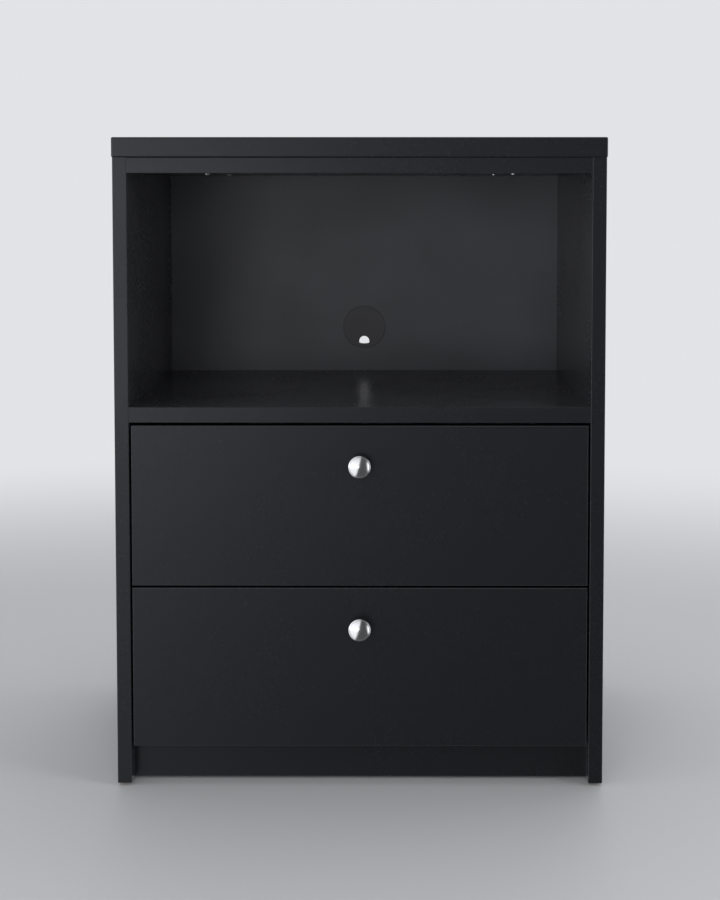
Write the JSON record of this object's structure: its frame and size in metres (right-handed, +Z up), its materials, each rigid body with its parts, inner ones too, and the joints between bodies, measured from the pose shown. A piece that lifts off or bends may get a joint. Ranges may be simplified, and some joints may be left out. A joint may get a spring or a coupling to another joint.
{
  "type": "microwave stand",
  "caption": "Board cabinet with an open niche for a microwave oven over full-extension drawers with round knobs, on ball-bearing rails.",
  "frame": {"origin": "on the floor, below the middle of the overall outline, knobs included", "axes": "+X to the right seen from the front, +Y to the back, +Z up; the drawers open towards -Y"},
  "size_m": [0.662, 0.525, 0.881],
  "materials": {
    "charcoal_board": "satin melamine-faced board",
    "back_board": "faced hardboard",
    "drawer_board": "satin melamine-faced board",
    "glide_plastic": "matt moulded",
    "black_plastic": "moulded",
    "cast_zinc": "cast zinc",
    "zinc_steel": "bright zinc plated",
    "rail_steel": "zinc plated, roll formed",
    "bright_steel": "bearing steel",
    "satin_nickel": "satin nickel plated",
    "beech": "fluted beech"
  },
  "bodies": {
    "cabinet": {"left_side_panel": "charcoal_board", "right_side_panel": "charcoal_board", "worktop": "charcoal_board", "ceiling_deck": "charcoal_board", "microwave_shelf": "charcoal_board", "bottom_deck": "charcoal_board", "front_plinth": "charcoal_board", "rear_plinth": "charcoal_board", "back_panel": "back_board", "cable_grommet": "black_plastic", "floor_glides": "glide_plastic", "cam_discs": "cast_zinc", "cam_bolts": "zinc_steel", "carcass_dowels": "beech", "worktop_screws": "zinc_steel", "back_panel_screws": "zinc_steel", "cabinet_rail_screws": "zinc_steel", "rail_bumpers": "black_plastic", "upper_left_cabinet_rail": "rail_steel", "upper_right_cabinet_rail": "rail_steel", "lower_left_cabinet_rail": "rail_steel", "lower_right_cabinet_rail": "rail_steel"},
    "upper_drawer": {"upper_drawer_front": "charcoal_board", "upper_box_left_side": "drawer_board", "upper_box_right_side": "drawer_board", "upper_box_front": "drawer_board", "upper_box_back": "drawer_board", "upper_box_bottom": "back_board", "upper_knob": "satin_nickel", "upper_knob_screw": "zinc_steel", "upper_front_screws": "zinc_steel", "upper_box_screws": "zinc_steel", "upper_bottom_screws": "zinc_steel", "upper_drawer_rail_screws": "zinc_steel", "upper_left_drawer_rail": "rail_steel", "upper_right_drawer_rail": "rail_steel", "upper_release_levers": "black_plastic"},
    "upper_middle_rails": {"upper_left_middle_rail": "rail_steel", "upper_right_middle_rail": "rail_steel"},
    "upper_outer_cages": {"upper_outer_ball_cages": "bright_steel"},
    "upper_inner_cages": {"upper_inner_ball_cages": "bright_steel"},
    "lower_drawer": {"lower_drawer_front": "charcoal_board", "lower_box_left_side": "drawer_board", "lower_box_right_side": "drawer_board", "lower_box_front": "drawer_board", "lower_box_back": "drawer_board", "lower_box_bottom": "back_board", "lower_knob": "satin_nickel", "lower_knob_screw": "zinc_steel", "lower_front_screws": "zinc_steel", "lower_box_screws": "zinc_steel", "lower_bottom_screws": "zinc_steel", "lower_drawer_rail_screws": "zinc_steel", "lower_left_drawer_rail": "rail_steel", "lower_right_drawer_rail": "rail_steel", "lower_release_levers": "black_plastic"},
    "lower_middle_rails": {"lower_left_middle_rail": "rail_steel", "lower_right_middle_rail": "rail_steel"},
    "lower_outer_cages": {"lower_outer_ball_cages": "bright_steel"},
    "lower_inner_cages": {"lower_inner_ball_cages": "bright_steel"}
  },
  "joints": [
    {"name": "upper_drawer_slide", "type": "slide", "parent": "cabinet", "child": "upper_drawer", "axis": [0, -1, 0], "range_m": [0, 0.45]},
    {"name": "upper_middle_slide", "type": "slide", "parent": "cabinet", "child": "upper_middle_rails", "axis": [0, -1, 0], "range_m": [0, 0.225]},
    {"name": "upper_outer_cage_slide", "type": "slide", "parent": "cabinet", "child": "upper_outer_cages", "axis": [0, -1, 0], "range_m": [0, 0.1125]},
    {"name": "upper_inner_cage_slide", "type": "slide", "parent": "cabinet", "child": "upper_inner_cages", "axis": [0, -1, 0], "range_m": [0, 0.3375]},
    {"name": "lower_drawer_slide", "type": "slide", "parent": "cabinet", "child": "lower_drawer", "axis": [0, -1, 0], "range_m": [0, 0.45]},
    {"name": "lower_middle_slide", "type": "slide", "parent": "cabinet", "child": "lower_middle_rails", "axis": [0, -1, 0], "range_m": [0, 0.225]},
    {"name": "lower_outer_cage_slide", "type": "slide", "parent": "cabinet", "child": "lower_outer_cages", "axis": [0, -1, 0], "range_m": [0, 0.1125]},
    {"name": "lower_inner_cage_slide", "type": "slide", "parent": "cabinet", "child": "lower_inner_cages", "axis": [0, -1, 0], "range_m": [0, 0.3375]}
  ],
  "couplings": [
    {"joint": "upper_middle_slide", "follows": "upper_drawer_slide", "ratio": 0.5},
    {"joint": "upper_outer_cage_slide", "follows": "upper_drawer_slide", "ratio": 0.25},
    {"joint": "upper_inner_cage_slide", "follows": "upper_drawer_slide", "ratio": 0.75},
    {"joint": "lower_middle_slide", "follows": "lower_drawer_slide", "ratio": 0.5},
    {"joint": "lower_outer_cage_slide", "follows": "lower_drawer_slide", "ratio": 0.25},
    {"joint": "lower_inner_cage_slide", "follows": "lower_drawer_slide", "ratio": 0.75}
  ]
}
